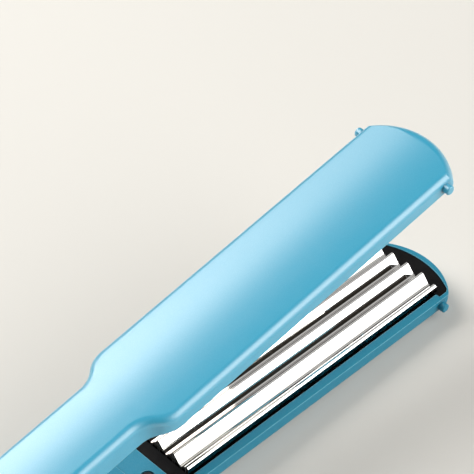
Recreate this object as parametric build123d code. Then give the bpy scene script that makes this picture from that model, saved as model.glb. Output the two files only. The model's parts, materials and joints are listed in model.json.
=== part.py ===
from build123d import *
import os
from math import sqrt

# Hair crimper: two hinged arms with corrugated heated plates.
#
# The arms are drawn closed. X runs along the arms to the tip, with 0 at the plates' handle end, Y runs
# across, and Z = 0 is the plane in which the arms close. The upper arm is then opened about the hinge,
# and everything is shifted so that the origin is the centre of the base. Sizes are in millimetres.

# Plates
PLATE_LENGTH = 120.0
PLATE_HALF = 13.9
WAVE_PITCH = 7.0
WAVE_HEIGHT = 3.3
WAVE_FLAT = 0.7
LIP_INNER = 12.6
LIP_CHAMFER = 0.5
CLOSED_GAP = 0.5
WEB_Z = -3.9
SKIRT_Z = -5.9
SKIRT_INNER = 12.5
RIB_Z = -6.1
RIB_INNER = 6.1
RIB_OUTER = 7.4

# Outline of an arm
PADDLE_HALF = 18.5
HANDLE_HALF = 12.5
NECK_REAR_X = -18.0
NECK_FRONT_X = -3.5
TIP_X = 129.8
TIP_RADIUS = 25.0
TIP_CORNER = 3.2
TIP_ROUND = 6.0
TIP_ROUND_HEIGHT = 7.2
ARC_REACH = 0.5523
CROWN_RADIUS = 101.5
BACK_Z = -10.1
BACK_ROUND = 2.9
BASE_Z = -10.02
RIM_Z = -2.3
HANDLE_RIM_Z = -0.3
RAMP_FRONT_X = -9.0
RAMP_REAR_X = -17.0

# Hollows of an arm
TROUGH_HALF = 15.4
TROUGH_FLOOR_Z = -7.5
TROUGH_REAR_X = -5.3
TROUGH_FRONT_X = 122.5
TIP_POCKET_HALF = 17.0
TIP_POCKET_X = 118.3
TIP_POCKET_APEX = 127.7
TIP_POCKET_RADIUS = 32.0
TIP_POCKET_CORNER = 3.0
TIP_POCKET_FLOOR_Z = -5.6
CAVITY_HALF = 10.1
CAVITY_FLOOR_Z = -7.9
CAVITY_FRONT_X = -16.5
CAVITY_REAR_X = -147.0
NECK_POCKET_HALF = 14.0

# Inner covers and their screws
COVER_THICK = 1.6
COVER_STEP_X = -15.9
COVER_PLAY = 0.1
DECK_SCREWS = ((-10.4, -6.0), (-10.4, 9.0))
HANDLE_SCREW_X = (-52.0, -94.0)
SCREW_RADIUS = 1.1
HEAD_RADIUS = 2.3
HEAD_HEIGHT = 0.8
SHANK_LENGTH = 3.8
BOSS_RADIUS = 2.8

# Heat frame
FRAME_Z = -2.6
FRAME_SIDE_Z = -5.3
FRAME_PLAY = 0.1
PLATE_PLAY = 0.4

# Pegs beside the tip
PEG_X = 117.6
PEG_Z = -4.9
PEG_RADIUS = 1.7
PEG_END = 21.0

# Hinge
HINGE_X = -158.0
REST_ANGLE = 10.2
PIN_RADIUS = 1.5
CHEEK_INNER = 9.8
CHEEK_RADIUS = 8.4
BAY_REAR_X = -166.9
BAY_FLOOR_Z = -8.3
BULKHEAD_X = -150.0
KNUCKLE_HALF = 9.5
KNUCKLE_RADIUS = 7.2
BUSH_RADIUS = 2.7
COIL_BAY_HALF = 5.2
COIL_RADIUS = 3.3
COIL_WIRE = 1.3
CAP_RADIUS = 4.2

# Tail and swivel
TAIL_HALF = 10.5
TAIL_REAR_X = -184.0
TAIL_TOP_Z = 9.0
GLAND_BORE = 3.2
GLAND_NECK = 5.0
GLAND_FLANGE = 6.3
GLAND_COLLAR = 6.2
GLAND_FRONT_X = -168.8
FLANGE_X = (-175.0, -173.4)
GLAND_REAR_X = -192.0
SOCKET_RADIUS = 6.7
RING_X = (-170.6, -172.6)
TAIL_SCREW_X = -177.0
TAIL_SCREW_Y = 8.6
LEAD_Z = -6.75
LEAD_Y = 6.0

# Controls of the upper arm
DIAL_X = -108.0
DIAL_RADIUS = 6.2
LENS_X = -119.0
ROCKER_X = -131.0
ROCKER_PIVOT_Z = 9.0
ROCKER_TILT = 7.0
BOARD_Z = (2.7, 3.9)
BOARD_X = (-145.0, -101.0)

NUDGE = 0.01
FAR = 40.0

tip_centre_x = TIP_X - TIP_RADIUS
tip_side_x = tip_centre_x + sqrt(TIP_RADIUS**2 - PADDLE_HALF**2)
pocket_centre_x = TIP_POCKET_APEX - TIP_POCKET_RADIUS
base_centre_x = (TIP_X + GLAND_REAR_X) / 2
hinge_axis = Axis((HINGE_X, 0, 0), (0, -1, 0))


def block(x, y, z):
    """Box between the given pairs of x, y and z."""
    size = (x[1] - x[0], y[1] - y[0], z[1] - z[0])
    centre = ((x[0] + x[1]) / 2, (y[0] + y[1]) / 2, (z[0] + z[1]) / 2)
    return Pos(*centre) * Box(*size)


def both_sides(x, y, z):
    """Two boxes, one on each side of the middle plane."""
    right = block(x, y, z)
    return right + mirror(right, about=Plane.XZ)


def post(x, y, z, radius):
    """Upright cylinder between a pair of z."""
    return Pos(x, y, (z[0] + z[1]) / 2) * Cylinder(radius, z[1] - z[0])


def cross_rod(x, z, y, radius):
    """Cylinder along Y between a pair of y."""
    return Pos(x, (y[0] + y[1]) / 2, z) * Rot(90, 0, 0) * Cylinder(radius, y[1] - y[0])


def long_rod(x, radius, y=0.0, z=0.0):
    """Cylinder along X between a pair of x."""
    return Pos((x[0] + x[1]) / 2, y, z) * Rot(0, 90, 0) * Cylinder(radius, x[1] - x[0])


def plan_slab(outline, z):
    """Plan outline given as a list of points, raised between a pair of z."""
    return extrude(Pos(0, 0, z[0]) * make_face(Polyline(*outline, close=True)), z[1] - z[0])


def side_slab(outline, y):
    """Outline given as (x, z) points, thick between a pair of y."""
    points = [(px, 0, pz) for px, pz in outline]
    face = make_face(Polyline(*points, close=True))
    slab = extrude(face, y[1] - y[0], dir=(0, 1, 0))
    return Pos(0, y[0], 0) * slab


# ---------------------------------------------------------------- shells

def arm_plan(rear_x, rear_half, taper_x=None):
    """Plan outline of an arm: handle, curved neck, paddle and rounded tip."""
    mid = ((NECK_REAR_X + NECK_FRONT_X) / 2, (HANDLE_HALF + PADDLE_HALF) / 2)
    rear = [Line((rear_x, HANDLE_HALF), (NECK_REAR_X, HANDLE_HALF))]
    if taper_x is not None:
        rear = [
            Line((rear_x, rear_half), (taper_x[0], rear_half)),
            Line((taper_x[0], rear_half), (taper_x[1], HANDLE_HALF)),
            Line((taper_x[1], HANDLE_HALF), (NECK_REAR_X, HANDLE_HALF)),
        ]
    side = rear + [
        TangentArc((NECK_REAR_X, HANDLE_HALF), mid, tangent=(1, 0)),
        TangentArc((NECK_FRONT_X, PADDLE_HALF), mid, tangent=(-1, 0)),
        Line((NECK_FRONT_X, PADDLE_HALF), (tip_side_x, PADDLE_HALF)),
    ]
    tip = ThreePointArc((tip_side_x, PADDLE_HALF), (TIP_X, 0), (tip_side_x, -PADDLE_HALF))
    end = Line((rear_x, -rear_half), (rear_x, rear_half))
    edges = side + [mirror(edge, about=Plane.XZ) for edge in side] + [tip, end]
    face = make_face(edges)
    corners = [v for v in face.vertices() if v.X > tip_side_x - 1 or v.X < rear_x + 1]
    return fillet(corners, TIP_CORNER)


def rounded_arm(plan):
    """Outer form of the lower arm up to the handle's rim, with a crowned back and rounded edges."""
    form = extrude(Pos(0, 0, BACK_Z - 1) * plan, HANDLE_RIM_Z - BACK_Z + 1)
    form = form & (Pos(-30, 0, BACK_Z + CROWN_RADIUS) * Rot(0, 90, 0) * Cylinder(CROWN_RADIUS, 400))
    back_edges = [edge for edge in form.edges() if (edge @ 0.5).Z < BACK_Z + 3 and edge.length > 0.5]
    upright = [edge for edge in back_edges if abs((edge % 0.5).Z) > 0.9]
    form = fillet([edge for edge in back_edges if edge not in upright], BACK_ROUND)
    return form - tip_rounding() - rim_cutter()


def tip_rounding():
    """What the larger, elliptical rounding takes off the back edge of the tip."""
    inner = TIP_RADIUS - TIP_ROUND
    top_z = BACK_Z + TIP_ROUND_HEIGHT
    arc = Bezier((inner, 0, BACK_Z), (inner + TIP_ROUND * ARC_REACH, 0, BACK_Z),
                 (TIP_RADIUS, 0, top_z - TIP_ROUND_HEIGHT * ARC_REACH), (TIP_RADIUS, 0, top_z))
    rest = Polyline((TIP_RADIUS, 0, top_z), (TIP_RADIUS + 4, 0, top_z), (TIP_RADIUS + 4, 0, BACK_Z - 2),
                    (inner, 0, BACK_Z - 2), (inner, 0, BACK_Z))
    ring = revolve(make_face([arc, rest]), Axis.Z, 124)
    return Pos(tip_centre_x, 0, 0) * Rot(0, 0, -62) * ring


def rim_cutter():
    """What is taken off above the paddle's rim and the ramp up to the handle's rim."""
    outline = [(RAMP_REAR_X, HANDLE_RIM_Z), (RAMP_FRONT_X, RIM_Z), (TIP_X + 5, RIM_Z), (TIP_X + 5, 2),
               (RAMP_REAR_X, 2)]
    return side_slab(outline, (-FAR, FAR))


def tip_pocket(z, play=0.0):
    """D shape at the tip, between a pair of z, drawn in by the given play."""
    disc = Pos(pocket_centre_x, 0, (z[0] + z[1]) / 2) * Cylinder(TIP_POCKET_RADIUS - play, z[1] - z[0])
    half = TIP_POCKET_HALF - play
    pocket = disc & block((TIP_POCKET_X + play, FAR * 5), (-half, half), z)
    corners = [e for e in pocket.edges().filter_by(Axis.Z) if e.center().X > TIP_POCKET_X + 1]
    return fillet(corners, TIP_POCKET_CORNER)


def arm_hollow(top_z):
    """Everything that is taken out of an arm: paddle trough, tip pocket, neck pocket and handle cavity."""
    trough = block((TROUGH_REAR_X, TROUGH_FRONT_X), (-TROUGH_HALF, TROUGH_HALF), (TROUGH_FLOOR_Z, top_z))
    cavity = block((CAVITY_REAR_X, CAVITY_FRONT_X), (-CAVITY_HALF, CAVITY_HALF), (CAVITY_FLOOR_Z, top_z))
    neck = plan_slab(neck_outline(0), (TROUGH_FLOOR_Z, top_z))
    return trough + tip_pocket((TIP_POCKET_FLOOR_Z, top_z)) + cavity + neck


def neck_outline(play):
    """Plan points of the pocket between the handle cavity and the paddle trough."""
    front = TROUGH_REAR_X + NUDGE - play
    rear = CAVITY_FRONT_X - NUDGE
    wide = NECK_POCKET_HALF - play
    slim = CAVITY_HALF - play
    return [(rear, -slim), (front, -wide), (front, wide), (rear, slim)]


def screw_places():
    """Places of an inner cover's screws, with the height of the face that each head sits under."""
    deck = [(x, y, RIM_Z) for x, y in DECK_SCREWS]
    handle = [(x, 0, HANDLE_RIM_Z) for x in HANDLE_SCREW_X]
    return deck + handle


def bosses():
    """Screw bosses of a shell, with their pilot holes."""
    group = Part()
    for x, y, face_z in screw_places():
        top = face_z - COVER_THICK
        boss = post(x, y, (CAVITY_FLOOR_Z - 0.5, top), BOSS_RADIUS)
        group += boss - post(x, y, (CAVITY_FLOOR_Z + 0.6, top + 1), SCREW_RADIUS + 0.04)
    return group


def pegs():
    """Two short pegs, one on each side of the tip."""
    peg = cross_rod(PEG_X, PEG_Z, (PADDLE_HALF - 1, PEG_END), PEG_RADIUS)
    peg = fillet(peg.faces().sort_by(Axis.Y)[-1].edges(), 0.5)
    return peg + mirror(peg, about=Plane.XZ)


def lower_shell():
    """Lower casing: paddle, handle, hinge cheeks and the lower half of the tail."""
    plan = arm_plan(TAIL_REAR_X, TAIL_HALF, (-170.0, -166.0))
    shell = rounded_arm(plan) - block((-FAR * 6, FAR * 4), (-FAR, FAR), (BACK_Z - 2, BASE_Z))
    shell -= arm_hollow(5)
    bay = block((BAY_REAR_X, BULKHEAD_X), (-CHEEK_INNER, CHEEK_INNER), (BAY_FLOOR_Z, 5))
    shell -= bay
    shell += bosses()
    shell += pegs()
    cheek = cross_rod(HINGE_X, 0, (CHEEK_INNER, HANDLE_HALF), CHEEK_RADIUS)
    shell += cheek + mirror(cheek, about=Plane.XZ)
    shell -= cross_rod(HINGE_X, 0, (-FAR, FAR), PIN_RADIUS)
    for side in (1, -1):
        y = sorted((side * (HANDLE_HALF - 0.5), side * FAR))
        shell -= cross_rod(HINGE_X, 0, y, CAP_RADIUS)
    shell += block((TAIL_REAR_X + 3, BAY_REAR_X), (-TAIL_HALF + 1, TAIL_HALF - 1), (HANDLE_RIM_Z - 2, 0))
    shell += tail_top_up()
    shell -= swivel_socket()
    for y in (-4.5, 4.5):
        shell -= long_rod((BULKHEAD_X - 1, CAVITY_REAR_X + 1), 1.0, y, -6.4)
    for y in (-TAIL_SCREW_Y, TAIL_SCREW_Y):
        shell -= post(TAIL_SCREW_X, y, (-6.5, 1), 0.95)
    return shell


def tail_top_up():
    """Brings the tail's lower half up from the handle's rim to the parting plane."""
    return tail_block((HANDLE_RIM_Z - NUDGE, 0))


def tail_block(z):
    """Solid tail between a pair of z, with rounded rear corners."""
    solid = block((TAIL_REAR_X, BAY_REAR_X), (-TAIL_HALF, TAIL_HALF), z)
    rear = [e for e in solid.edges().filter_by(Axis.Z) if e.center().X < TAIL_REAR_X + 1]
    return fillet(rear, TIP_CORNER)


def swivel_socket():
    """Hollow in the tail that the swivel gland turns in, with a hole for the wires in front."""
    room = long_rod((FLANGE_X[0] - 0.3, GLAND_FRONT_X + 0.6), SOCKET_RADIUS)
    neck = long_rod((TAIL_REAR_X - 1, FLANGE_X[0]), GLAND_NECK + 0.08)
    wires = long_rod((GLAND_FRONT_X, BAY_REAR_X + 1), 2.6)
    return room + neck + wires


def tail_cover():
    """Upper half of the tail."""
    cover = tail_block((0, TAIL_TOP_Z))
    top = [e for e in cover.edges() if e.center().Z > TAIL_TOP_Z - 0.1]
    cover = fillet(top, 2.4) - swivel_socket()
    for y in (-TAIL_SCREW_Y, TAIL_SCREW_Y):
        cover -= post(TAIL_SCREW_X, y, (-1, 8), 1.0)
        cover -= post(TAIL_SCREW_X, y, (4.0, TAIL_TOP_Z + 1), 1.75)
    return cover


def knuckle():
    """Hinge barrel of the upper arm, with its neck, bush holes and the bay of the torsion spring."""
    barrel = cross_rod(HINGE_X, 0, (-KNUCKLE_HALF, KNUCKLE_HALF), KNUCKLE_RADIUS)
    neck = block((HINGE_X, CAVITY_REAR_X - 1.0), (-KNUCKLE_HALF, KNUCKLE_HALF), (0.6, KNUCKLE_RADIUS - 0.4))
    solid = barrel + neck
    solid -= cross_rod(HINGE_X, 0, (-FAR, FAR), BUSH_RADIUS)
    solid -= cross_rod(HINGE_X, 0, (-COIL_BAY_HALF, COIL_BAY_HALF), COIL_RADIUS + COIL_WIRE)
    solid -= block((HINGE_X - FAR, HINGE_X + 4.2), (-COIL_BAY_HALF, COIL_BAY_HALF), (-FAR, 0))
    return solid


def upper_shell():
    """Upper casing: the lower one's mirror image, with the hinge knuckle and the openings of the controls."""
    plan = arm_plan(CAVITY_REAR_X - 2, HANDLE_HALF)
    shell = rounded_arm(plan) - arm_hollow(5) + bosses() + pegs()
    shell = mirror(shell, about=Plane.XY)
    shell += knuckle()
    shell -= post(DIAL_X, 0, (5, FAR), DIAL_RADIUS + 0.3)
    shell -= post(LENS_X, 0, (5, FAR), 1.6)
    shell -= block((ROCKER_X - 6.1, ROCKER_X + 6.1), (-3.6, 3.6), (5, FAR))
    shell -= cross_rod(ROCKER_X, ROCKER_PIVOT_Z, (-4.4, 4.4), 0.66)
    return shell


# ---------------------------------------------------------------- inner covers and frames

def inner_cover():
    """Flat cover of a handle's inner side, with a lower deck behind the heat frame."""
    half = CAVITY_HALF - COVER_PLAY
    x = (CAVITY_REAR_X + COVER_PLAY, COVER_STEP_X)
    cover = block(x, (-half, half), (HANDLE_RIM_Z - COVER_THICK, HANDLE_RIM_Z))
    rear_deck = CAVITY_FRONT_X + NUDGE
    outline = [(rear_deck, -half), (TROUGH_REAR_X, -NECK_POCKET_HALF + 0.3),
               (TROUGH_REAR_X, NECK_POCKET_HALF - 0.3), (rear_deck, half)]
    cover += plan_slab(outline, (RIM_Z - COVER_THICK, RIM_Z))
    riser = (COVER_STEP_X - COVER_THICK, COVER_STEP_X)
    cover += block(riser, (-half + 0.4, half - 0.4), (RIM_Z - COVER_THICK, HANDLE_RIM_Z))
    for sx, sy, face_z in screw_places():
        cover -= post(sx, sy, (face_z - HEAD_HEIGHT - 0.2, face_z + 1), HEAD_RADIUS + 0.25)
        cover -= post(sx, sy, (face_z - COVER_THICK - 1, face_z + 1), SCREW_RADIUS + 0.1)
    return cover


def cover_screws():
    """Screws of one inner cover, with cross recesses."""
    group = []
    for x, y, face_z in screw_places():
        seat = face_z - HEAD_HEIGHT - 0.2
        head = post(x, y, (seat, seat + HEAD_HEIGHT), HEAD_RADIUS)
        head = fillet(head.edges().sort_by(Axis.Z)[-1], 0.3)
        for angle in (0, 90):
            slot = Pos(x, y, seat + HEAD_HEIGHT) * Rot(0, 0, angle) * Box(2.4, 0.5, 0.8)
            head -= slot
        group.append(head + post(x, y, (seat - SHANK_LENGTH, seat), SCREW_RADIUS))
    return Compound(children=group)


def heat_frame():
    """Black frame around a plate: the handle end, the D at the tip and two low sides between them."""
    half = TROUGH_HALF - FRAME_PLAY
    opening = (-PLATE_PLAY, PLATE_LENGTH + PLATE_PLAY)
    frame = block((TROUGH_REAR_X + FRAME_PLAY, opening[1]), (-half, half), (TROUGH_FLOOR_Z, FRAME_SIDE_Z))
    frame += block((TROUGH_REAR_X + FRAME_PLAY, opening[0]), (-half, half), (TROUGH_FLOOR_Z, FRAME_Z))
    frame += tip_pocket((TIP_POCKET_FLOOR_Z, FRAME_Z), FRAME_PLAY)
    side = PLATE_HALF + PLATE_PLAY
    frame -= block(opening, (-side, side), (-FAR, FAR))
    for x in ((-2.4, 1), (PLATE_LENGTH - 1, PLATE_LENGTH + 2.4)):
        frame -= both_sides(x, (7.3, 11.9), (SKIRT_Z - 1.2, SKIRT_Z + 1.35))
    frame -= block((-10, 0), (-3.8, 3.8), (TROUGH_FLOOR_Z - 1, -5.6))
    return frame


# ---------------------------------------------------------------- heated plates

def wave_points(shift):
    """Cross-section points of the corrugation from one lip to the other, raised by shift."""
    mid = shift
    half = WAVE_HEIGHT / 2
    edge = mid - LIP_CHAMFER * (1 if shift < 0 else -1)
    flat = PLATE_HALF - LIP_CHAMFER
    points = [(-PLATE_HALF, edge), (-flat, mid), (-LIP_INNER, mid)]
    for step in range(-3, 4):
        y = step * WAVE_PITCH / 2
        level = mid + (half if step % 2 == 0 else -half)
        points += [(y - WAVE_FLAT / 2, level), (y + WAVE_FLAT / 2, level)]
    return points + [(LIP_INNER, mid), (flat, mid), (PLATE_HALF, edge)]


def plate_from(top, z_sign):
    """Extruded plate: corrugated face, two skirts and two ribs that hold the heater."""
    under = [(PLATE_HALF, SKIRT_Z), (SKIRT_INNER, SKIRT_Z), (SKIRT_INNER, WEB_Z), (RIB_OUTER, WEB_Z),
             (RIB_OUTER, RIB_Z), (RIB_INNER, RIB_Z), (RIB_INNER, WEB_Z)]
    back = [(y, z_sign * z) for y, z in under]
    back += [(-y, z) for y, z in reversed(back)]
    points = [(0, y, z) for y, z in top + back]
    plate = extrude(make_face(Polyline(*points, close=True)), PLATE_LENGTH, dir=(1, 0, 0))
    z = sorted((z_sign * SKIRT_Z, z_sign * (SKIRT_Z + 1.3)))
    for x in ((-1.7, 2.0), (PLATE_LENGTH - 2.0, PLATE_LENGTH + 1.7)):
        plate += both_sides(x, (7.6, 11.6), z)
        plate += both_sides((max(x[0], 0), min(x[1], PLATE_LENGTH)), (RIB_OUTER - 0.5, 12.8), z)
    return plate


def lower_plate():
    """Lower crimp plate: its crests stand at the middle and one pitch to each side."""
    return plate_from(wave_points(-CLOSED_GAP / 2), 1)


def upper_plate():
    """Upper crimp plate: the same wave from above, so that its crests drop into the lower valleys."""
    return plate_from(wave_points(CLOSED_GAP / 2), -1)


def heater():
    """Flat ceramic heater between the ribs of a plate."""
    return block((22, 98), (-6.0, 6.0), (WEB_Z - 1.8, WEB_Z))


def insulation():
    """Sheet of insulation behind the heater."""
    return block((20.5, 99.5), (-6.0, 6.0), (WEB_Z - 2.0, WEB_Z - 1.8))


def heater_clip():
    """Steel strip that presses the heater to the plate, with three windows."""
    z = (WEB_Z - 2.4, WEB_Z - 2.0)
    strip = block((28, 92), (-6.05, 6.05), z)
    for x in (40, 60, 80):
        strip -= block((x - 6, x + 6), (-2.2, 2.2), (z[0] - 1, z[1] + 1))
    return strip


def cushions():
    """Four rubber cushions between a plate's ribs and the floor of its trough."""
    group = []
    for x in (14, 106):
        for side in (1, -1):
            y = sorted((side * 6.2, side * 7.4))
            pad = block((x - 5, x + 5), y, (TROUGH_FLOOR_Z, RIB_Z))
            group.append(pad)
    return Compound(children=group)


def thermal_part(radius, length, x, y):
    """Small sealed cylinder lying under the web of a plate."""
    return long_rod((x, x + length), radius, y, WEB_Z - radius - 0.02)


def lead_wires(start_x):
    """Two insulated wires from start_x to the heater, held between cover and shell."""
    group = []
    for side in (1, -1):
        wide = side * LEAD_Y
        route = FilletPolyline((start_x, wide, LEAD_Z), (-34, wide, LEAD_Z), (-18, side, LEAD_Z),
                               (18, side, LEAD_Z), radius=14)
        start = Plane(origin=(start_x, wide, LEAD_Z), z_dir=(1, 0, 0))
        group.append(sweep(start * Circle(0.6), path=route))
    return Compound(children=group)


# ---------------------------------------------------------------- hinge and swivel

def hinge_pin():
    """Steel pin through both cheeks and the knuckle."""
    return cross_rod(HINGE_X, 0, (-HANDLE_HALF + 0.5, HANDLE_HALF - 0.5), PIN_RADIUS)


def hinge_bushes():
    """Two plain bushes in the knuckle, which run on the pin."""
    group = []
    for side in (1, -1):
        y = sorted((side * COIL_BAY_HALF, side * KNUCKLE_HALF))
        group.append(cross_rod(HINGE_X, 0, y, BUSH_RADIUS) - cross_rod(HINGE_X, 0, (-FAR, FAR), PIN_RADIUS + 0.05))
    return Compound(children=group)


def hinge_caps():
    """Two domed caps over the ends of the pin."""
    cap = cross_rod(HINGE_X, 0, (HANDLE_HALF - 0.5, HANDLE_HALF + 0.5), CAP_RADIUS)
    cap = fillet(cap.edges().sort_by(Axis.Y)[-1], 0.45)
    return Compound(children=[cap, mirror(cap, about=Plane.XZ)])


def arm_spring():
    """Torsion spring around the pin, with one leg under the upper arm and one on the lower arm's floor."""
    turns = 5
    pitch = 1.6
    coil_length = turns * pitch
    helix = Helix(pitch=pitch, height=coil_length, radius=COIL_RADIUS)
    start = Plane(origin=helix @ 0, z_dir=helix % 0)
    coil = sweep(start * Circle(COIL_WIRE / 2), path=helix)
    coil = Pos(HINGE_X, coil_length / 2, 0) * Rot(90, 0, 0) * coil
    rod = Cylinder(COIL_WIRE / 2, 6.5)
    rear_leg = Pos(HINGE_X + COIL_RADIUS, coil_length / 2, -3.25) * rod
    front_leg = Pos(HINGE_X + COIL_RADIUS, -coil_length / 2, -3.25) * rod
    return coil + rear_leg + front_leg


def swivel_gland():
    """Gland that turns in the tail and holds the cord in its bore."""
    gland = long_rod((FLANGE_X[1], GLAND_FRONT_X), 4.4)
    gland += long_rod(FLANGE_X, GLAND_FLANGE)
    gland += long_rod((TAIL_REAR_X - 0.4, FLANGE_X[0]), GLAND_NECK)
    collar = Pos((TAIL_REAR_X - 0.4 + GLAND_REAR_X) / 2, 0, 0) * Rot(0, -90, 0)
    gland += collar * Cone(GLAND_COLLAR, GLAND_COLLAR - 1.0, TAIL_REAR_X - 0.4 - GLAND_REAR_X)
    for x in (-186.0, -188.0, -190.0):
        gland -= long_rod((x - 0.35, x + 0.35), FAR) - long_rod((x - 1, x + 1), GLAND_COLLAR - 1.3)
    return gland - long_rod((GLAND_REAR_X - 1, GLAND_FRONT_X + 1), GLAND_BORE)


def slip_rings():
    """Two brass rings on the inner end of the gland."""
    group = []
    for x in RING_X:
        group.append(long_rod((x - 0.5, x + 0.5), 5.2) - long_rod((x - 1, x + 1), 4.4))
    return Compound(children=group)


def contact_leaves():
    """Two brass leaves under the slip rings, standing on the floor of the socket."""
    group = []
    for x in RING_X:
        leaf = block((x - 0.4, x + 0.4), (-3.0, 3.0), (-5.9, -5.5))
        group.append(leaf + block((x - 0.4, x + 0.4), (-0.6, 0.6), (-SOCKET_RADIUS, -5.8)))
    return Compound(children=group)


def tail_screws():
    """Two screws that hold the tail's halves together."""
    group = []
    for y in (-TAIL_SCREW_Y, TAIL_SCREW_Y):
        head = post(TAIL_SCREW_X, y, (4.0, 5.2), 1.7)
        for angle in (0, 90):
            head -= Pos(TAIL_SCREW_X, y, 5.2) * Rot(0, 0, angle) * Box(1.9, 0.4, 0.7)
        group.append(head + post(TAIL_SCREW_X, y, (-5.5, 4.0), 0.9))
    return Compound(children=group)


# ---------------------------------------------------------------- controls of the upper arm

def circuit_board():
    """Circuit board of the upper handle."""
    board = block(BOARD_X, (-9.0, 9.0), BOARD_Z)
    for x, y in ((-143.2, 7.2), (-143.2, -7.2), (-102.8, 7.2), (-102.8, -7.2)):
        board -= post(x, y, (0, 5), 0.8)
    return board


def capacitor():
    """Capacitor lying on the board."""
    return long_rod((-120.5, -113.0), 1.7, 5.8, BOARD_Z[1] + 1.7)


def power_chip():
    """Chip that switches the heaters, with its upright tab."""
    chip = block((-142.0, -138.6), (-4.5, 4.5), (BOARD_Z[1], BOARD_Z[1] + 2.4))
    return chip + block((-138.6, -137.9), (-4.5, 4.5), (BOARD_Z[1], BOARD_Z[1] + 3.2))


def resistors():
    """Two resistors lying on the board."""
    return Compound(children=[long_rod((-119.5, -114.5), 0.9, y, BOARD_Z[1] + 0.9) for y in (-4.4, -7.2)])


def board_connector():
    """Connector of the lead wires on the board's front edge."""
    return block((-104.6, -101.6), (-5.6, 5.6), (BOARD_Z[1], BOARD_Z[1] + 2.6))


def switch_body():
    """Body of the rocker switch on the board."""
    return block((ROCKER_X - 6.4, ROCKER_X + 6.4), (-4.6, 4.6), (BOARD_Z[1], 7.2))


def power_rocker():
    """Rocker of the power switch, tilted to its off side, with a stub axle on each side."""
    outline = [(-5.2, -0.6), (5.2, -0.6), (5.65, 0.95), (3.4, 1.45), (0, 0.8), (-3.4, 1.45), (-5.65, 0.95)]
    rocker = side_slab(outline, (-3.3, 3.3))
    rocker += Rot(90, 0, 0) * Cylinder(0.6, 8.2)
    rocker -= Pos(3.3, 0, 1.35) * Box(0.5, 2.6, 0.5)
    return Pos(ROCKER_X, 0, ROCKER_PIVOT_Z) * Rot(0, ROCKER_TILT, 0) * rocker


def potentiometer():
    """Rotary potentiometer under the dial."""
    body = block((DIAL_X - 4.8, DIAL_X + 3.0), (-5.0, 5.0), (BOARD_Z[1], 7.0))
    return body - post(DIAL_X, 0, (BOARD_Z[1] + 0.4, 8), 1.56)


def temperature_dial():
    """Knurled dial with a pointer groove and a shaft down into the potentiometer."""
    dial = post(DIAL_X, 0, (8.1, 11.6), DIAL_RADIUS)
    dial = fillet(dial.edges().sort_by(Axis.Z)[-1], 0.8)
    for location in PolarLocations(DIAL_RADIUS + 0.25, 28):
        notch = location * Cylinder(0.45, 2.2)
        dial -= Pos(DIAL_X, 0, 11.2) * notch
    dial -= Pos(DIAL_X - 3.4, 0, 11.6) * Box(4.0, 0.7, 0.8)
    return dial + post(DIAL_X, 0, (BOARD_Z[1] + 0.7, 8.1), 1.5)


def indicator_lens():
    """Light guide of the indicator, from under the back to its outer face."""
    return post(LENS_X, 0, (7.0, 10.3), 1.5) + post(LENS_X, 0, (7.0, 7.8), 2.2)


def indicator_lamp():
    """Lamp on the board under the lens."""
    return post(LENS_X, 0, (BOARD_Z[1], 6.4), 1.2) + post(LENS_X, 0, (BOARD_Z[1], 4.6), 1.6)


# ---------------------------------------------------------------- assembly

def on_lower(part):
    """A piece of the lower arm, moved to the row's origin."""
    return Pos(-base_centre_x, 0, -BASE_Z) * part


def on_upper(part):
    """A piece of the upper arm, opened about the hinge and moved to the row's origin."""
    return on_lower(part.rotate(hinge_axis, REST_ANGLE))


def flipped(part):
    """The mirror image above the closing plane."""
    return mirror(part, about=Plane.XY)


def write(name, part):
    """Write one node as a STEP file."""
    export_step(part, f"parts/{name}.step")


os.makedirs("parts", exist_ok=True)

for name, part in {
    "lower_shell": lower_shell(),
    "lower_inner_cover": inner_cover(),
    "lower_heat_frame": heat_frame(),
    "lower_cover_screws": cover_screws(),
    "lower_crimp_plate": lower_plate(),
    "lower_heater": heater(),
    "lower_insulation": insulation(),
    "lower_heater_clip": heater_clip(),
    "lower_plate_cushions": cushions(),
    "lower_lead_wires": lead_wires(CAVITY_REAR_X + 0.5),
    "thermal_fuse": thermal_part(1.1, 9.0, 9.0, 4.0),
    "hinge_pin": hinge_pin(),
    "hinge_caps": hinge_caps(),
    "tail_cover": tail_cover(),
    "tail_screws": tail_screws(),
    "contact_leaves": contact_leaves(),
    "swivel_gland": swivel_gland(),
    "slip_rings": slip_rings(),
    "arm_spring": arm_spring(),
}.items():
    write(name, on_lower(part))

for name, part in {
    "upper_shell": upper_shell(),
    "upper_inner_cover": flipped(inner_cover()),
    "upper_heat_frame": flipped(heat_frame()),
    "upper_cover_screws": flipped(cover_screws()),
    "upper_crimp_plate": upper_plate(),
    "upper_heater": flipped(heater()),
    "upper_insulation": flipped(insulation()),
    "upper_heater_clip": flipped(heater_clip()),
    "upper_plate_cushions": flipped(cushions()),
    "upper_lead_wires": flipped(lead_wires(BOARD_X[1] + 1.0)),
    "thermistor": flipped(thermal_part(0.8, 6.0, 100.5, 0.0)),
    "hinge_bushes": hinge_bushes(),
    "circuit_board": circuit_board(),
    "capacitor": capacitor(),
    "power_chip": power_chip(),
    "resistors": resistors(),
    "board_connector": board_connector(),
    "switch_body": switch_body(),
    "power_rocker": power_rocker(),
    "potentiometer": potentiometer(),
    "temperature_dial": temperature_dial(),
    "indicator_lens": indicator_lens(),
    "indicator_lamp": indicator_lamp(),
}.items():
    write(name, on_upper(part))
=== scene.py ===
import json
from math import cos, radians, sin

import bmesh
import bpy
from mathutils import Matrix, Vector


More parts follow.
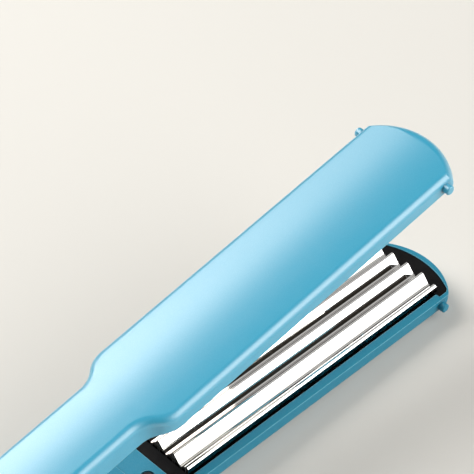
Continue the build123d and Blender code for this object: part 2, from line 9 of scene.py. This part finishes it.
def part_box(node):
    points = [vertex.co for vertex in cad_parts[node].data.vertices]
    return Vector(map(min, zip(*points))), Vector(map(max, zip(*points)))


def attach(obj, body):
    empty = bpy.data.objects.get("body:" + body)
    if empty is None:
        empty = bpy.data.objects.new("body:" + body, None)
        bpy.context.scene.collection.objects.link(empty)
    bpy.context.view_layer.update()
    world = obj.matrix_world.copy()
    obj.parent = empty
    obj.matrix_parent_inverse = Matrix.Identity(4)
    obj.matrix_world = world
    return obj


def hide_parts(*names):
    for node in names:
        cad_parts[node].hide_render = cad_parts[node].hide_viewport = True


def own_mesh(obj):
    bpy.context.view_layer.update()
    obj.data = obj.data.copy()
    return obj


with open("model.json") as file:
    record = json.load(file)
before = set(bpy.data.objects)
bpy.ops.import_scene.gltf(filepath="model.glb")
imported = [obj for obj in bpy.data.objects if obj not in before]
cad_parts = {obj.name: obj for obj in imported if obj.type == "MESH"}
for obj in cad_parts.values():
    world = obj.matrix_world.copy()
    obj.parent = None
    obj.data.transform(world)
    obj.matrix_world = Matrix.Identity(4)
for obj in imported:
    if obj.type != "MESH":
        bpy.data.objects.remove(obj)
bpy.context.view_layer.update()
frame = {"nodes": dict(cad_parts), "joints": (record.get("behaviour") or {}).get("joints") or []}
NODES = frame["nodes"]
JOINTS = {joint["name"]: joint for joint in frame["joints"]}

MM = 0.001
PLATE_TAB = 1.7 * MM
WAVE_PITCH = 7.0 * MM
WAVE_HEIGHT = 3.3 * MM
WAVE_FLAT = 0.7 * MM
LIP_INNER = 12.6 * MM


# ---------------------------------------------------------------- node material helpers

class Shader:
    """A node material with one Principled shader and short ways to add nodes to it."""

    def __init__(self, name, base, roughness, metallic=0.0, **sockets):
        self.material = bpy.data.materials.new(name)
        self.material.use_nodes = True
        self.tree = self.material.node_tree
        self.tree.nodes.clear()
        self.shader = self.node("ShaderNodeBsdfPrincipled")
        output = self.node("ShaderNodeOutputMaterial")
        self.tree.links.new(self.shader.outputs["BSDF"], output.inputs["Surface"])
        self.place = self.node("ShaderNodeTexCoord").outputs["Object"]
        self.set("Base Color", (*base, 1))
        self.set("Roughness", roughness)
        self.set("Metallic", metallic)
        for socket, value in sockets.items():
            self.set(socket.replace("_", " "), value)
        self.material.diffuse_color = (*base, 1)

    def node(self, kind, **settings):
        made = self.tree.nodes.new(kind)
        for key, value in settings.items():
            setattr(made, key, value)
        return made

    def set(self, socket, value):
        self.shader.inputs[socket].default_value = value

    def link(self, source, socket):
        self.tree.links.new(source, self.shader.inputs[socket])

    def join(self, source, target):
        self.tree.links.new(source, target)

    def stretched(self, scale):
        """Object coordinates scaled by the given triple, for grain that runs one way."""
        mapping = self.node("ShaderNodeMapping")
        mapping.inputs["Scale"].default_value = scale
        self.join(self.place, mapping.inputs["Vector"])
        return mapping.outputs["Vector"]

    def noise(self, scale, detail=3.0, roughness=0.55, vector=None):
        texture = self.node("ShaderNodeTexNoise")
        texture.inputs["Scale"].default_value = scale
        texture.inputs["Detail"].default_value = detail
        texture.inputs["Roughness"].default_value = roughness
        self.join(vector if vector is not None else self.place, texture.inputs["Vector"])
        return texture.outputs["Fac"]

    def math(self, operation, first, second=None):
        """One arithmetic step; second is a socket or a number."""
        step = self.node("ShaderNodeMath", operation=operation)
        self.join(first, step.inputs[0])
        if isinstance(second, float):
            step.inputs[1].default_value = second
        elif second is not None:
            self.join(second, step.inputs[1])
        return step.outputs["Value"]

    def spread(self, value, low, high, start=0.35, end=0.65):
        """value remapped from start..end to low..high."""
        ranged = self.node("ShaderNodeMapRange")
        self.join(value, ranged.inputs["Value"])
        for name, number in (("From Min", start), ("From Max", end), ("To Min", low), ("To Max", high)):
            ranged.inputs[name].default_value = number
        return ranged.outputs["Result"]

    def mix(self, factor, first, second):
        """Colour mix by a socket; each end is a colour triple or a socket."""
        mixed = self.node("ShaderNodeMix", data_type="RGBA")
        self.join(factor, mixed.inputs[0])
        for socket, value in ((mixed.inputs[6], first), (mixed.inputs[7], second)):
            if isinstance(value, tuple):
                socket.default_value = (*value, 1)
            else:
                self.join(value, socket)
        return mixed.outputs[2]

    def facing(self, blend):
        weight = self.node("ShaderNodeLayerWeight")
        weight.inputs["Blend"].default_value = blend
        return weight.outputs["Facing"]

    def bump(self, height, distance, strength, normal=None):
        bump = self.node("ShaderNodeBump")
        bump.inputs["Distance"].default_value = distance
        bump.inputs["Strength"].default_value = strength
        self.join(height, bump.inputs["Height"])
        if normal is not None:
            self.join(normal, bump.inputs["Normal"])
        self.link(bump.outputs["Normal"], "Normal")

    def rounded_edges(self, radius, most):
        """Normal with edges rounded to a radius, and how strongly a point near an edge is paled, as rubbed
        paint and a painted edge highlight.
        """
        bevel = self.node("ShaderNodeBevel", samples=6)
        bevel.inputs["Radius"].default_value = radius
        geometry = self.node("ShaderNodeNewGeometry")
        dot = self.node("ShaderNodeVectorMath", operation="DOT_PRODUCT")
        self.join(bevel.outputs["Normal"], dot.inputs[0])
        self.join(geometry.outputs["Normal"], dot.inputs[1])
        return bevel.outputs["Normal"], self.spread(dot.outputs["Value"], most, 0.0, 0.80, 0.99)


# ---------------------------------------------------------------- materials

EDGE_RADIUS = 0.5 * MM
# Painted shade in creases and gaps: how far the occlusion looks and the dark tone it paints.
CREASE_SHADE_REACH = 2.2 * MM
CREASE_SHADE_TONE = (0.004, 0.10, 0.17)
FLAKE_SCALE = 4200.0
CLOUD_SCALE = 34.0


def pearl_lacquer(name, depth, coat, gloss, highlight_wear_most, highlight_worn_tone):
    """Light blue lacquer under a pearl coat: paler towards grazing angles as a painted sheen, paler on
    rubbed edges that also carry a painted edge highlight, and darker in creases as painted shade.

    depth scales the blue, and a depth below 1 makes a darker copy that paints shade; coat and gloss are the
    coat's weight and the lacquer's own shine."""
    def tone(*colour):
        return tuple(depth * value for value in colour)

    m = Shader(name, tone(0.03, 0.37, 0.56), 0.40, 0.0, IOR=1.5, Coat_Weight=coat, Coat_Roughness=0.33,
               Coat_IOR=2.1, Specular_IOR_Level=gloss)
    flakes = m.noise(FLAKE_SCALE, 1.0, 0.4)
    cloud = m.noise(CLOUD_SCALE, 2.0)
    # Painted sheen: the colour turns paler towards grazing angles.
    grazing = m.spread(m.facing(0.3), 0.0, 0.5, 0.6, 1.0)
    sheen_paled = m.mix(grazing, tone(0.022, 0.365, 0.565), tone(0.28, 0.58, 0.72))
    tinted = m.mix(m.spread(cloud, 0.0, 0.10), sheen_paled, tone(0.04, 0.40, 0.61))
    sparkled = m.mix(m.spread(flakes, 0.0, 0.09), tinted, tone(0.34, 0.74, 0.92))
    # Edges get a paler tone: partly rubbed paint, partly a painted edge highlight.
    rounded, wear_and_highlight = m.rounded_edges(EDGE_RADIUS, highlight_wear_most)
    worn_and_highlit = m.mix(wear_and_highlight, sparkled, highlight_worn_tone)
    # Painted shade: ambient occlusion darkens the colour in creases and gaps.
    crease_shade = m.node("ShaderNodeAmbientOcclusion", samples=6)
    crease_shade.inputs["Distance"].default_value = CREASE_SHADE_REACH
    m.link(m.mix(m.spread(crease_shade.outputs["AO"], 0.7, 0.0, 0.45, 0.85), worn_and_highlit, CREASE_SHADE_TONE), "Base Color")
    m.link(m.spread(m.noise(260.0, 3.0), 0.33, 0.42), "Roughness")
    m.bump(flakes, 0.000004, 0.35, rounded)
    return m.material


def matte_black():
    """Black heat resistant plastic with a fine spark-eroded grain."""
    m = Shader("matte_black", (0.004, 0.004, 0.0045), 0.62, Specular_IOR_Level=0.12)
    grain = m.noise(2600.0, 4.0, 0.65)
    patches = m.spread(m.noise(180.0), 0.0, 0.5)
    m.link(m.mix(patches, (0.003, 0.003, 0.0035), (0.009, 0.0085, 0.0085)), "Base Color")
    m.link(m.spread(grain, 0.50, 0.74), "Roughness")
    m.bump(grain, 0.00003, 0.5)
    return m.material


# Painted dark reflection on the plate slopes: its tone, the heights it spans above the valley, its half
# width and its gap from the plate's end.
DARK_REFLECTION_TONE = (0.034, 0.029, 0.024)
DARK_REFLECTION_FROM = 0.02 * MM
DARK_REFLECTION_TO = 0.93 * MM
DARK_REFLECTION_HALF_WIDTH = 8.9 * MM
DARK_REFLECTION_END_GAP = 3.4 * MM
LINE_REACH_Y = 11.9 * MM
EDGE_LINE = 0.04 * MM
LIP_LINE = 0.05 * MM


def mirror_plate(name, node, joint_name):
    """Polished plate metal: faint drawing lines, a painted dark reflection low on the slopes, dull lines
    along edges.

    The plate faces away from the way it sinks along its joint."""
    m = Shader(name, (0.93, 0.925, 0.91), 0.03, 1.0, Specular_IOR_Level=0.15)
    smear = m.noise(60.0, 3.0)
    bright = m.mix(m.spread(smear, 0.0, 0.3), (0.95, 0.945, 0.93), (0.90, 0.89, 0.87))
    out = -Vector(JOINTS[joint_name]["axis"]).normalized()
    valley = max(vertex.co.dot(out) for vertex in NODES[node].data.vertices) - WAVE_HEIGHT
    level = m.node("ShaderNodeVectorMath", operation="DOT_PRODUCT")
    level.inputs[1].default_value = out
    m.join(m.place, level.inputs[0])
    height = level.outputs["Value"]
    parts = m.node("ShaderNodeSeparateXYZ")
    m.join(m.place, parts.inputs["Vector"])
    off_middle = m.math("ABSOLUTE", parts.outputs["Y"])

    def fade_out(value, most, start, width):
        """most before start, 0 past start + width."""
        return m.spread(value, most, 0.0, start, start + width)

    # Painted reflection: low on the slopes the plate turns dark and non-metallic, standing for the dark
    # upper arm mirrored there.
    above_flat = m.spread(height, 0.0, 1.0, valley + DARK_REFLECTION_FROM, valley + DARK_REFLECTION_FROM + 0.04 * MM)
    below_top = fade_out(height, 1.0, valley + DARK_REFLECTION_TO, 0.07 * MM)
    between_ridges = fade_out(off_middle, 1.0, DARK_REFLECTION_HALF_WIDTH, 0.2 * MM)
    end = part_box(node)[1].x - PLATE_TAB
    short_of_end = fade_out(parts.outputs["X"], 1.0, end - DARK_REFLECTION_END_GAP, 0.3 * MM)
    dark_reflection = m.math("MULTIPLY", m.math("MULTIPLY", above_flat, below_top), between_ridges)
    dark_reflection = m.math("MULTIPLY", dark_reflection, short_of_end)
    from_flat = m.math("PINGPONG", m.math("PINGPONG", off_middle, WAVE_PITCH / 2), WAVE_PITCH / 4)
    from_edge = m.math("ABSOLUTE", m.math("SUBTRACT", from_flat, WAVE_FLAT / 2))
    within_lips = fade_out(off_middle, 1.0, LINE_REACH_Y, 0.1 * MM)
    edge_lines = m.math("MULTIPLY", fade_out(from_edge, 0.9, EDGE_LINE, 0.06 * MM), within_lips)
    from_lip = m.math("ABSOLUTE", m.math("SUBTRACT", off_middle, LIP_INNER))
    lip_lines = fade_out(from_lip, 0.7, LIP_LINE, 0.07 * MM)
    dull = m.math("MAXIMUM", dark_reflection, m.math("MAXIMUM", edge_lines, lip_lines))
    m.link(m.mix(dull, bright, DARK_REFLECTION_TONE), "Base Color")
    m.link(m.spread(dull, 1.0, 0.0, 0.0, 1.0), "Metallic")
    m.link(m.spread(smear, 0.02, 0.05), "Roughness")
    lines = m.noise(900.0, 2.0, 0.6, m.stretched((0.02, 1.0, 1.0)))
    m.bump(lines, 0.0000006, 0.2)
    return m.material


def plain(name, base, roughness, metallic=0.0, grain=900.0, depth=0.00001, **sockets):
    """A moulded, sheet or machined finish: two close tones, uneven roughness and a fine grain."""
    m = Shader(name, base, roughness, metallic, **sockets)
    second = tuple(min(1.0, value * 1.35 + 0.01) for value in base)
    m.link(m.mix(m.spread(m.noise(grain * 0.12), 0.0, 0.6), base, second), "Base Color")
    fine = m.noise(grain, 3.0)
    m.link(m.spread(fine, roughness * 0.82, min(1.0, roughness * 1.2)), "Roughness")
    m.bump(fine, depth, 0.5)
    return m.material


def give(material, *names):
    for name in names:
        mesh = NODES[name].data
        mesh.materials.clear()
        mesh.materials.append(material)


PEARL = pearl_lacquer("pearl_lacquer", 1.0, 0.85, 0.5, 0.5, (0.16, 0.52, 0.70))
# Painted shade: a darker, less glossy copy of the same lacquer for the lower arm, with a brighter painted
# edge highlight; both arms have one colour on the object.
SHADED_PEARL = pearl_lacquer("pearl_lacquer_painted_shade", 0.56, 0.06, 0.22, 0.85, (0.24, 0.60, 0.74))
BLACK = matte_black()
LOWER_MIRROR = mirror_plate("mirror_plate_lower", "lower_crimp_plate", "lower_plate_float")
UPPER_MIRROR = mirror_plate("mirror_plate_upper", "upper_crimp_plate", "upper_plate_float")
STEEL = plain("zinc_steel", (0.36, 0.36, 0.37), 0.32, 1.0, 1500.0, 0.000004)
BLACKENED = plain("blackened_steel", (0.035, 0.036, 0.04), 0.36, 1.0, 1500.0, 0.000004)
CERAMIC = plain("ceramic", (0.78, 0.75, 0.70), 0.7, 0.0, 1200.0, 0.00001)
MICA = plain("mica", (0.45, 0.33, 0.18), 0.4, 0.0, 500.0, 0.00001)
RUBBER = plain("red_silicone", (0.30, 0.04, 0.03), 0.6, 0.0, 1400.0, 0.00001)
WIRE = plain("wire_silicone", (0.72, 0.72, 0.70), 0.5, 0.0, 1600.0, 0.00001)
CHROME = plain("cap_chrome", (0.80, 0.80, 0.82), 0.10, 1.0, 900.0, 0.000001)
BRASS = plain("contact_brass", (0.72, 0.50, 0.20), 0.28, 1.0, 1500.0, 0.000003)
NYLON = plain("bush_nylon", (0.74, 0.72, 0.64), 0.45, 0.0, 900.0, 0.00001)
BOARD = plain("board_green", (0.02, 0.13, 0.05), 0.35, 0.0, 700.0, 0.00001)
CHIP = plain("component_black", (0.02, 0.02, 0.022), 0.45, 0.0, 1500.0, 0.00001)
GLAND = plain("gland_black", (0.014, 0.014, 0.015), 0.55, 0.0, 1800.0, 0.00002)
DIAL = plain("dial_silver", (0.55, 0.57, 0.58), 0.30, 0.8, 1800.0, 0.000004)
LENS = plain("lens_red", (0.55, 0.03, 0.015), 0.18, 0.0, 700.0, 0.000002, Transmission_Weight=0.4)

give(PEARL, "upper_shell", "upper_inner_cover", "tail_cover")
give(SHADED_PEARL, "lower_shell", "lower_inner_cover")
give(BLACK, "lower_heat_frame", "upper_heat_frame")
give(LOWER_MIRROR, "lower_crimp_plate")
give(UPPER_MIRROR, "upper_crimp_plate")
give(BLACKENED, "lower_cover_screws", "upper_cover_screws", "tail_screws")
give(STEEL, "hinge_pin", "arm_spring", "lower_heater_clip", "upper_heater_clip", "thermal_fuse")
give(CERAMIC, "lower_heater", "upper_heater", "thermistor")
give(MICA, "lower_insulation", "upper_insulation")
give(WIRE, "lower_lead_wires", "upper_lead_wires")
give(CHROME, "hinge_caps")
give(BRASS, "contact_leaves", "slip_rings")
give(NYLON, "hinge_bushes")
give(BOARD, "circuit_board")
give(CHIP, "capacitor", "power_chip", "resistors", "board_connector")
give(CHIP, "switch_body", "potentiometer", "power_rocker")
give(GLAND, "swivel_gland")
give(DIAL, "temperature_dial")
give(LENS, "indicator_lens", "indicator_lamp")


# ---------------------------------------------------------------- soft pads under the plates

PAD_EDGE = 0.25 * MM
PAD_CLEARANCE = 0.02 * MM


def soft_pads(name, node, body, joint_name):
    """Rubber pads with rounded edges where the CAD pads are, lowered a little for clearance under the plate.
    """
    joint = JOINTS[joint_name]
    down = Vector(joint["axis"]).normalized()
    form = bmesh.new()
    form.from_mesh(NODES[node].data)
    bmesh.ops.remove_doubles(form, verts=form.verts, dist=1e-6)
    bmesh.ops.dissolve_limit(form, angle_limit=radians(1), verts=form.verts, edges=form.edges)
    base = max(vertex.co.dot(down) for vertex in form.verts)
    thickness = base - min(vertex.co.dot(down) for vertex in form.verts)
    for vertex in form.verts:
        height = (base - vertex.co.dot(down)) / thickness
        vertex.co += down * PAD_CLEARANCE * height
    bmesh.ops.bevel(form, geom=form.edges[:], offset=PAD_EDGE, segments=3, profile=0.5, affect="EDGES")
    anchor = max((vertex.co for vertex in form.verts), key=down.dot).copy()
    mesh = bpy.data.meshes.new(name)
    form.to_mesh(mesh)
    form.free()
    mesh.shade_smooth()
    mesh.materials.append(RUBBER)
    pads = bpy.data.objects.new(name, mesh)
    bpy.context.scene.collection.objects.link(pads)
    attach(pads, body)
    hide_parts(node)
    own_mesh(pads)


soft_pads("lower_soft_pads", "lower_plate_cushions", "lower_arm", "lower_plate_float")
soft_pads("upper_soft_pads", "upper_plate_cushions", "upper_arm", "upper_plate_float")


# ---------------------------------------------------------------- floor, light and camera

def direction(azimuth, elevation):
    """Unit vector towards a light at that compass azimuth (0 is +X, 90 is +Y) and elevation."""
    a, e = radians(azimuth), radians(elevation)
    return Vector((cos(a) * cos(e), sin(a) * cos(e), sin(e)))


FLOOR_HALF = 6.0


def add_floor():
    material = bpy.data.materials.new("floor")
    material.use_nodes = True
    shader = material.node_tree.nodes["Principled BSDF"]
    shader.inputs["Base Color"].default_value = (0.72, 0.705, 0.67, 1)
    shader.inputs["Roughness"].default_value = 0.9
    shader.inputs["Specular IOR Level"].default_value = 0.1
    mesh = bpy.data.meshes.new("floor")
    corners = [(x * FLOOR_HALF, y * FLOOR_HALF, 0) for x, y in ((-1, -1), (1, -1), (1, 1), (-1, 1))]
    mesh.from_pydata(corners, [], [(0, 1, 2, 3)])
    mesh.materials.append(material)
    floor = bpy.data.objects.new("floor", mesh)
    bpy.context.scene.collection.objects.link(floor)


def add_softbox(name, azimuth, elevation, distance, size, power, target, colour):
    light = bpy.data.lights.new(name, "AREA")
    light.shape = "RECTANGLE"
    light.size, light.size_y = size
    light.energy = power
    light.color = colour
    lamp = bpy.data.objects.new(name, light)
    towards = direction(azimuth, elevation)
    lamp.location = target + towards * distance
    lamp.rotation_mode = "QUATERNION"
    lamp.rotation_quaternion = towards.to_track_quat("Z", "Y")
    bpy.context.scene.collection.objects.link(lamp)
    return lamp


def add_world(base, lobes):
    """Dim studio with soft bright lobes: azimuth, elevation, inner and outer angle, and strength of each."""
    world = bpy.data.worlds.new("studio")
    world.use_nodes = True
    tree = world.node_tree
    towards = tree.nodes.new("ShaderNodeTexCoord").outputs["Generated"]
    level = None
    for azimuth, elevation, inner, outer, strength in lobes:
        dot = tree.nodes.new("ShaderNodeVectorMath")
        dot.operation = "DOT_PRODUCT"
        dot.inputs[1].default_value = direction(azimuth, elevation)
        tree.links.new(towards, dot.inputs[0])
        lobe = tree.nodes.new("ShaderNodeMapRange")
        lobe.interpolation_type = "SMOOTHSTEP"
        lobe.inputs["From Min"].default_value = cos(radians(outer))
        lobe.inputs["From Max"].default_value = cos(radians(inner))
        lobe.inputs["To Max"].default_value = strength
        tree.links.new(dot.outputs["Value"], lobe.inputs["Value"])
        total = tree.nodes.new("ShaderNodeMath")
        total.operation = "ADD"
        total.inputs[0].default_value = base
        if level is not None:
            tree.links.new(level, total.inputs[0])
        tree.links.new(lobe.outputs["Result"], total.inputs[1])
        level = total.outputs["Value"]
    tree.links.new(level, tree.nodes["Background"].inputs["Strength"])
    tree.nodes["Background"].inputs["Color"].default_value = (1.0, 0.99, 0.97, 1)
    bpy.context.scene.world = world


def add_camera(target, azimuth, elevation, roll, distance, lens):
    """Camera that looks at target from that azimuth (0 is straight from -Y) and elevation, in degrees."""
    a, e, r = radians(azimuth), radians(elevation), radians(roll)
    back = Vector((sin(a) * cos(e), -cos(a) * cos(e), sin(e)))
    right = Vector((cos(a), sin(a), 0))
    up = back.cross(right)
    rolled = right * cos(r) + up * sin(r)
    above = back.cross(rolled)
    camera = bpy.data.objects.new("camera", bpy.data.cameras.new("camera"))
    camera.data.lens = lens
    camera.data.sensor_width = 36.0
    camera.data.clip_start = 0.01
    turn = Matrix((rolled, above, back)).transposed().to_4x4()
    camera.matrix_world = Matrix.Translation(target + back * distance) @ turn
    bpy.context.scene.collection.objects.link(camera)
    bpy.context.scene.camera = camera


plate_low, plate_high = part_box("lower_crimp_plate")
AIM = Vector((plate_low.x + PLATE_TAB + 85.7 * MM, 51.1 * MM, plate_high.z))
HEART = Vector((0.05, 0.0, 0.03))
UPPER_TIP = Vector((0.14, 0.01, 0.07))
WARM = (1.0, 0.985, 0.955)
SOFT_WARM = (1.0, 0.99, 0.96)
AMBER = (1.0, 0.88, 0.80)
SLOPE_LOBE = (-60, 24, 16, 42, 3.5)  # what the near slopes of the ridges mirror
FLAT_LOBE = (45, 43, 4, 18, 0.45)  # what their flats mirror

add_floor()
add_world(0.04, [SLOPE_LOBE, FLAT_LOBE])
add_softbox("key", 108, 42, 1.9, (1.7, 1.33), 42.5, HEART, WARM)
fill = add_softbox("fill", -70, 50, 2.2, (2.0, 2.0), 9, HEART, SOFT_WARM)
fill.visible_glossy = False
sheen = add_softbox("sheen", 71, 43, 0.7, (0.34, 0.28), 0.72, UPPER_TIP, AMBER)
sheen.visible_diffuse = False
add_camera(AIM, -45.22, 43.20, 1.02, 695.5 * MM, 147.4)
bpy.context.scene.view_settings.view_transform = "Standard"
bpy.context.scene.view_settings.look = "None"
